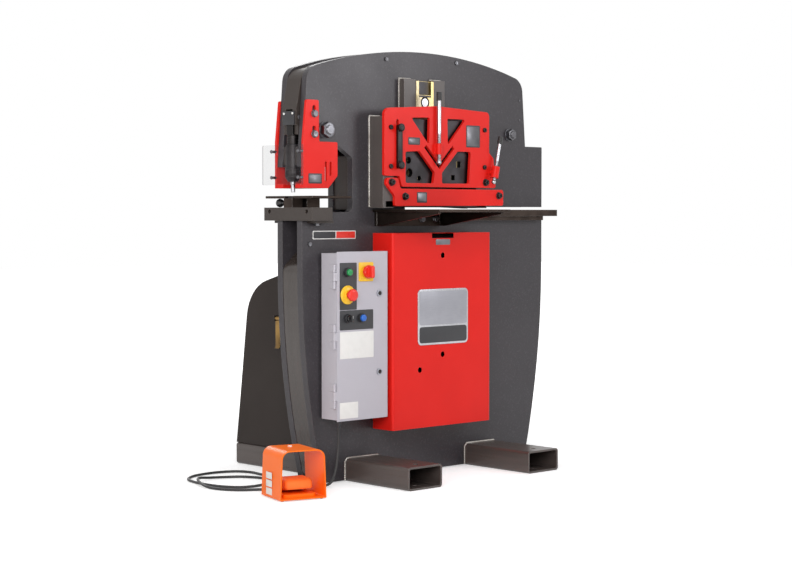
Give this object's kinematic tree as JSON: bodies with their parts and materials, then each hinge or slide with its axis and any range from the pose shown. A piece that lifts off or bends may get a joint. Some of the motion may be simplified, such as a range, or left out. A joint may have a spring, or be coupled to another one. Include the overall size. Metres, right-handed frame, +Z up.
{
  "type": "hydraulic ironworker",
  "caption": "Floor-standing hydraulic ironworker with punch station, angle, rod and flat-bar shear, control box and corded foot pedal; beam, clamps, door, switches, covers and treadle move.",
  "frame": {"origin": "on the floor, midway between the four anchor holes of the fork tubes", "axes": "+Z up, +X from the punch end to the bar-shear end, -Y towards the operator"},
  "size_m": [1.4425, 0.9125, 1.445],
  "materials": {
    "plate_paint": "textured charcoal powder coat",
    "tube_paint": "semi-gloss dark paint",
    "cover_paint": "dark powder coat",
    "red_paint": "satin red paint",
    "grey_paint": "light grey paint",
    "orange_paint": "gloss orange paint",
    "pad_paint": "orange-red paint",
    "steel": "ground and turned steel",
    "dark_steel": "black oxide",
    "zinc": "yellow zinc",
    "brown_steel": "oiled mill finish",
    "machine_grey": "grey paint",
    "clear_sheet": "clear sheet",
    "black_plastic": "black plastic",
    "white_plastic": "light plastic",
    "yellow_plastic": "yellow plastic",
    "red_plastic": "red plastic",
    "green_plastic": "green plastic",
    "blue_plastic": "blue plastic",
    "black_rubber": "black sheath"
  },
  "bodies": {
    "frame": {"front_plate": "plate_paint", "rear_plate": "plate_paint", "frame_spacers": "plate_paint", "fork_tubes": "tube_paint", "tie_bolt": "steel", "pivot_pin": "steel", "shear_housing": "brown_steel", "fixed_blades": "steel", "shear_guard": "red_paint", "bar_hold_down": "red_paint", "machine_bolts": "steel", "bar_table": "brown_steel", "table_supports": "brown_steel", "bolster": "plate_paint", "die_holder": "dark_steel", "die": "steel", "stock_table": "brown_steel", "ram_guide": "plate_paint", "slug_chute": "plate_paint", "cylinder_barrel": "machine_grey", "front_cover": "red_paint", "reservoir": "cover_paint", "motor": "machine_grey", "pump_block": "machine_grey", "pressure_hose": "black_rubber", "control_box": "grey_paint", "control_gear": "white_plastic", "door_hinges": "dark_steel", "cable_glands": "black_plastic", "pedal_base": "pad_paint", "pedal_guard": "orange_paint", "pedal_cord": "black_rubber"},
    "beam": {"rocking_beam": "plate_paint", "beam_pins": "steel", "upper_bar_blade": "steel"},
    "rod": {"cylinder_rod": "steel"},
    "slider": {"shear_slider": "zinc"},
    "ram": {"punch_ram": "dark_steel", "punch": "steel"},
    "coupling": {"coupling_nut": "dark_steel"},
    "stripping_gate": {"stripper": "red_paint", "punch_guard": "clear_sheet"},
    "angle_pad": {"angle_clamp_pad": "steel"},
    "angle_screw": {"angle_clamp_screw": "steel"},
    "bar_collar": {"bar_clamp_collar": "red_paint"},
    "bar_tip": {"bar_clamp_tip": "steel"},
    "bar_screw": {"bar_clamp_screw": "steel"},
    "rod_clamp": {"rod_clamp_bar": "dark_steel"},
    "door": {"control_door": "grey_paint", "switch_bezels": "yellow_plastic"},
    "start": {"start_button": "green_plastic"},
    "reset": {"reset_button": "blue_plastic"},
    "stop": {"stop_button": "red_plastic"},
    "selector": {"selector_knob": "black_plastic"},
    "disconnect": {"disconnect_handle": "red_plastic"},
    "latch_high": {"upper_latch": "steel"},
    "latch_low": {"lower_latch": "steel"},
    "foot_lever": {"treadle": "pad_paint"},
    "hood": {"rear_cover": "cover_paint"},
    "hood_lever": {"cover_latch": "dark_steel"}
  },
  "joints": [
    {"name": "beam_rock", "type": "hinge", "parent": "frame", "child": "beam", "pos_m": [0.43, -0.0775, 1.176], "axis": [0, -1, 0], "range_deg": [0, 2.07]},
    {"name": "rod_slide", "type": "slide", "parent": "frame", "child": "rod", "axis": [0, 0, -1], "range_m": [0, 0.02115]},
    {"name": "slider_slide", "type": "slide", "parent": "frame", "child": "slider", "axis": [0, 0, -1], "range_m": [0, 0.01616]},
    {"name": "ram_slide", "type": "slide", "parent": "frame", "child": "ram", "axis": [0, 0, -1], "range_m": [0, 0.0347]},
    {"name": "coupling_turn", "type": "hinge", "parent": "ram", "child": "coupling", "pos_m": [-0.53, -0.0775, 1.01], "axis": [0, 0, 1], "range_deg": [0, 90]},
    {"name": "stripper_slide", "type": "slide", "parent": "frame", "child": "stripping_gate", "axis": [0, 0, 1], "range_m": [-0.02, 0]},
    {"name": "angle_pad_feed", "type": "slide", "parent": "frame", "child": "angle_pad", "axis": [0, 0, 1], "range_m": [-0.01, 0.02]},
    {"name": "angle_screw_turn", "type": "hinge", "parent": "angle_pad", "child": "angle_screw", "pos_m": [-0.012, -0.232, 1.1], "axis": [0, 0, 1], "range_deg": [-601, 1201]},
    {"name": "bar_clamp_swivel", "type": "hinge", "parent": "frame", "child": "bar_collar", "pos_m": [0.256, -0.24, 1.037], "axis": [0, 1, 0], "range_deg": [-12, 12]},
    {"name": "bar_tip_feed", "type": "slide", "parent": "bar_collar", "child": "bar_tip", "axis": [0.2181, 0, 0.9759], "range_m": [-0.02, 0]},
    {"name": "bar_screw_turn", "type": "hinge", "parent": "bar_tip", "child": "bar_screw", "pos_m": [0.256, -0.24, 1.037], "axis": [0.2181, 0, 0.9759], "range_deg": [-1441, 1]},
    {"name": "rod_clamp_slide", "type": "slide", "parent": "frame", "child": "rod_clamp", "axis": [0, 0, 1], "range_m": [-0.005, 0.02]},
    {"name": "door_swing", "type": "hinge", "parent": "frame", "child": "door", "pos_m": [-0.475, -0.219, 0.491], "axis": [0, 0, -1], "range_deg": [0, 110]},
    {"name": "start_press", "type": "slide", "parent": "door", "child": "start", "axis": [0, 1, 0], "range_m": [0, 0.004], "stiffness_N_per_m": 400, "springref_m": -0.004},
    {"name": "reset_press", "type": "slide", "parent": "door", "child": "reset", "axis": [0, 1, 0], "range_m": [0, 0.004], "stiffness_N_per_m": 400, "springref_m": -0.004},
    {"name": "stop_press", "type": "slide", "parent": "door", "child": "stop", "axis": [0, 1, 0], "range_m": [0, 0.004]},
    {"name": "selector_turn", "type": "hinge", "parent": "door", "child": "selector", "pos_m": [-0.423, -0.2248, 0.55], "axis": [0, 1, 0], "range_deg": [-45, 45]},
    {"name": "disconnect_turn", "type": "hinge", "parent": "door", "child": "disconnect", "pos_m": [-0.343, -0.2248, 0.701], "axis": [0, 1, 0], "range_deg": [0, 90]},
    {"name": "upper_latch_turn", "type": "hinge", "parent": "door", "child": "latch_high", "pos_m": [-0.283, -0.2248, 0.629], "axis": [0, 1, 0], "range_deg": [0, 90]},
    {"name": "lower_latch_turn", "type": "hinge", "parent": "door", "child": "latch_low", "pos_m": [-0.283, -0.2248, 0.36806], "axis": [0, 1, 0], "range_deg": [0, 90]},
    {"name": "treadle_tip", "type": "hinge", "parent": "frame", "child": "foot_lever", "pos_m": [-0.6858, -0.24143, 0.025], "axis": [0.9613, -0.2756, 0], "range_deg": [0, 6], "stiffness_Nm_per_rad": 6, "springref_deg": -17.19},
    {"name": "rear_cover_pull", "type": "slide", "parent": "frame", "child": "hood", "axis": [0, 1, 0], "range_m": [0, 0.3]},
    {"name": "cover_latch_lift", "type": "hinge", "parent": "hood", "child": "hood_lever", "pos_m": [-0.367, 0.2003, 0.53], "axis": [0, 1, 0], "range_deg": [0, 100]}
  ],
  "couplings": [
    {"joint": "rod_slide", "follows": "beam_rock", "m_per_rad": 0.585},
    {"joint": "slider_slide", "follows": "beam_rock", "m_per_rad": 0.447},
    {"joint": "ram_slide", "follows": "beam_rock", "m_per_rad": 0.96},
    {"joint": "angle_screw_turn", "follows": "angle_pad_feed", "rad_per_m": 1047.2},
    {"joint": "bar_screw_turn", "follows": "bar_tip_feed", "rad_per_m": 1256.6}
  ]
}
